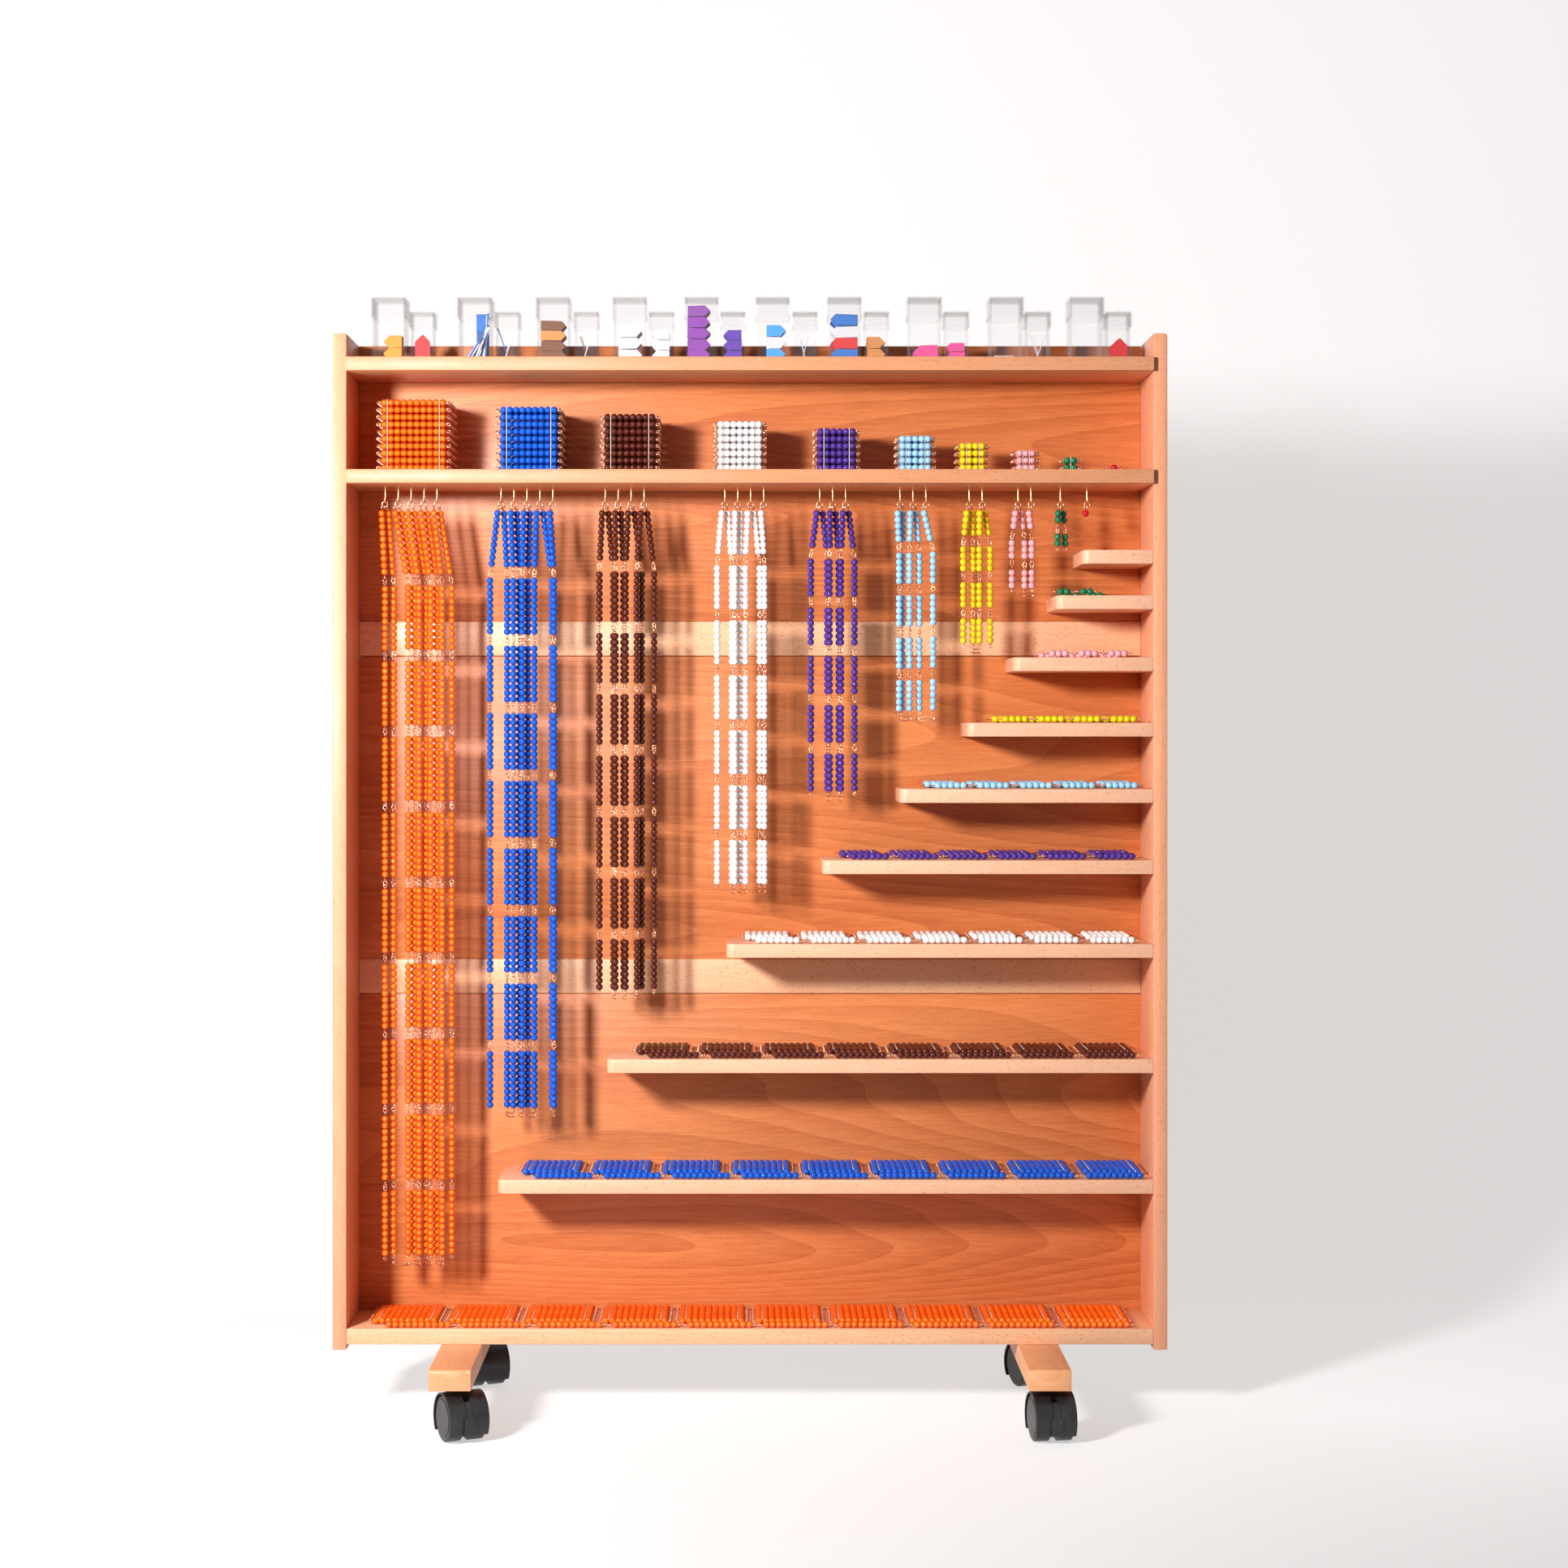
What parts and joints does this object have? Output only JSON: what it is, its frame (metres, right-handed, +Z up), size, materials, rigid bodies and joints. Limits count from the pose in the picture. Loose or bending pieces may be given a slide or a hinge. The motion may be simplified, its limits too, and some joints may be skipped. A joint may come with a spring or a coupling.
{
  "type": "bead cabinet",
  "caption": "Open wooden cabinet on braked casters, with coloured bead cubes, bead squares on stepped shelves, hanging bead chains on hooks and clear ticket boxes on top.",
  "frame": {"origin": "on the floor, under the middle of the outline that the side panels, feet and front casters make", "axes": "+X to the cabinet's right as seen from the front, +Y towards the back, +Z up"},
  "size_m": [0.956, 0.3593, 1.2905],
  "materials": {
    "beech": "clear satin lacquer",
    "pale_beech": "clear satin lacquer",
    "black_plastic": "satin moulded",
    "steel": "zinc plated",
    "brass": "polished",
    "clear_plastic": "clear and glossy",
    "paper": "matt card",
    "beads_red": "glossy",
    "beads_green": "glossy",
    "beads_pink": "glossy",
    "beads_yellow": "glossy",
    "beads_light_blue": "glossy",
    "beads_purple": "glossy",
    "beads_white": "glossy",
    "beads_brown": "glossy",
    "beads_blue": "glossy",
    "beads_amber": "glossy"
  },
  "bodies": {
    "cabinet": {"left_side": "beech", "right_side": "beech", "top_shelf": "pale_beech", "cube_shelf": "pale_beech", "bottom_shelf": "pale_beech", "step_shelf_1": "pale_beech", "step_shelf_2": "pale_beech", "step_shelf_3": "pale_beech", "step_shelf_4": "pale_beech", "step_shelf_5": "pale_beech", "step_shelf_6": "pale_beech", "step_shelf_7": "pale_beech", "step_shelf_8": "pale_beech", "step_shelf_9": "pale_beech", "back_upper": "beech", "back_middle": "beech", "back_lower": "beech", "rail_upper": "pale_beech", "rail_lower": "pale_beech", "foot_left": "beech", "foot_right": "beech", "caster_stems": "steel", "hooks": "brass", "large_boxes": "clear_plastic", "large_lids": "clear_plastic", "small_boxes": "clear_plastic", "small_lids": "clear_plastic", "tickets": "paper", "chain_1": "beads_red", "chain_2": "beads_green", "chain_3": "beads_pink", "chain_4": "beads_yellow", "chain_5": "beads_light_blue", "chain_6": "beads_purple", "chain_7": "beads_white", "chain_8": "beads_brown", "chain_9": "beads_blue", "chain_10": "beads_amber", "bead_set_1": "beads_red", "bead_set_2": "beads_green", "bead_set_3": "beads_pink", "bead_set_4": "beads_yellow", "bead_set_5": "beads_light_blue", "bead_set_6": "beads_purple", "bead_set_7": "beads_white", "bead_set_8": "beads_brown", "bead_set_9": "beads_blue", "bead_set_10": "beads_amber"},
    "swivel_front_left": {"hood_front_left": "black_plastic"},
    "wheel_pair_front_left": {"wheels_front_left": "black_plastic"},
    "lever_front_left": {"brake_front_left": "black_plastic"},
    "swivel_front_right": {"hood_front_right": "black_plastic"},
    "wheel_pair_front_right": {"wheels_front_right": "black_plastic"},
    "lever_front_right": {"brake_front_right": "black_plastic"},
    "swivel_back_left": {"hood_back_left": "black_plastic"},
    "wheel_pair_back_left": {"wheels_back_left": "black_plastic"},
    "swivel_back_right": {"hood_back_right": "black_plastic"},
    "wheel_pair_back_right": {"wheels_back_right": "black_plastic"}
  },
  "joints": [
    {"name": "swivel_front_left_turn", "type": "hinge", "parent": "cabinet", "child": "swivel_front_left", "pos_m": [-0.33, -0.12235, 0.05], "axis": [0, 0, 1], "continuous": true},
    {"name": "wheels_front_left_spin", "type": "hinge", "parent": "swivel_front_left", "child": "wheel_pair_front_left", "pos_m": [-0.31986, -0.1441, 0.0255], "axis": [0.9063, 0.4226, 0], "continuous": true},
    {"name": "brake_front_left_press", "type": "hinge", "parent": "swivel_front_left", "child": "lever_front_left", "pos_m": [-0.31239, -0.16012, 0.04318], "axis": [-0.9063, -0.4226, 0], "range_deg": [0, 14]},
    {"name": "swivel_front_right_turn", "type": "hinge", "parent": "cabinet", "child": "swivel_front_right", "pos_m": [0.33, -0.12235, 0.05], "axis": [0, 0, 1], "continuous": true},
    {"name": "wheels_front_right_spin", "type": "hinge", "parent": "swivel_front_right", "child": "wheel_pair_front_right", "pos_m": [0.33334, -0.14612, 0.0255], "axis": [0.9903, 0.1392, 0], "continuous": true},
    {"name": "brake_front_right_press", "type": "hinge", "parent": "swivel_front_right", "child": "lever_front_right", "pos_m": [0.3358, -0.16362, 0.04318], "axis": [-0.9903, -0.1392, 0], "range_deg": [0, 14]},
    {"name": "swivel_back_left_turn", "type": "hinge", "parent": "cabinet", "child": "swivel_back_left", "pos_m": [-0.33, 0.14965, 0.05], "axis": [0, 0, 1], "continuous": true},
    {"name": "wheels_back_left_spin", "type": "hinge", "parent": "swivel_back_left", "child": "wheel_pair_back_left", "pos_m": [-0.31986, 0.1279, 0.0255], "axis": [0.9063, 0.4226, 0], "continuous": true},
    {"name": "swivel_back_right_turn", "type": "hinge", "parent": "cabinet", "child": "swivel_back_right", "pos_m": [0.33, 0.14965, 0.05], "axis": [0, 0, 1], "continuous": true},
    {"name": "wheels_back_right_spin", "type": "hinge", "parent": "swivel_back_right", "child": "wheel_pair_back_right", "pos_m": [0.33899, 0.1274, 0.0255], "axis": [0.9272, 0.3746, 0], "continuous": true}
  ]
}
